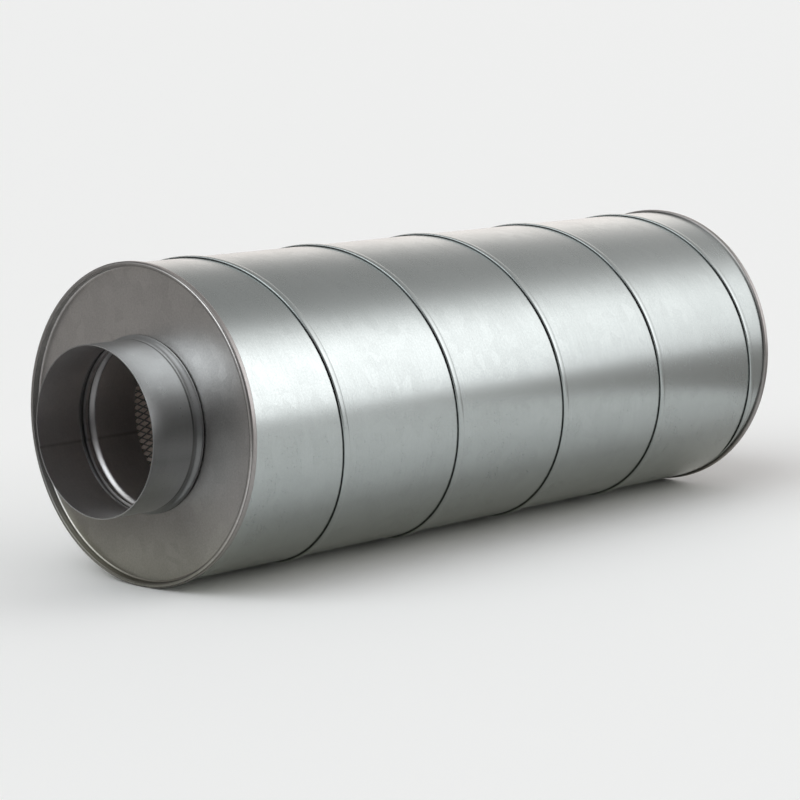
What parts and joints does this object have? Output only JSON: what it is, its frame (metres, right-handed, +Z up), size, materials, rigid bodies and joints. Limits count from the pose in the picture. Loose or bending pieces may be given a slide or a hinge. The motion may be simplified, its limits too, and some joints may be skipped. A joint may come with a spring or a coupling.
{
  "type": "duct sound attenuator",
  "caption": "Round duct sound attenuator: spiral lock-seam steel casing, recessed end caps with beaded spigots, and a mesh-lined air path packed with mineral wool.",
  "frame": {"origin": "middle of the duct axis, half way between the two spigot mouths", "axes": "+X along the duct axis from the inlet spigot to the outlet spigot, +Z up"},
  "size_m": [0.693, 0.2364, 0.2364],
  "materials": {
    "casing_steel": "galvanised, fine rolling lines round the tube",
    "cap_steel": "galvanised, satin",
    "spigot_steel": "galvanised, satin",
    "liner_mesh": "galvanised expanded metal",
    "fleece": "glass-fibre fleece",
    "mineral_wool": "mineral wool mat"
  },
  "bodies": {
    "root": {"outer_casing": "casing_steel", "inlet_end_cap": "cap_steel", "outlet_end_cap": "cap_steel", "inlet_spigot": "spigot_steel", "outlet_spigot": "spigot_steel", "mesh_liner": "liner_mesh", "fleece_wrap": "fleece", "wool_packing": "mineral_wool"}
  },
  "joints": []
}
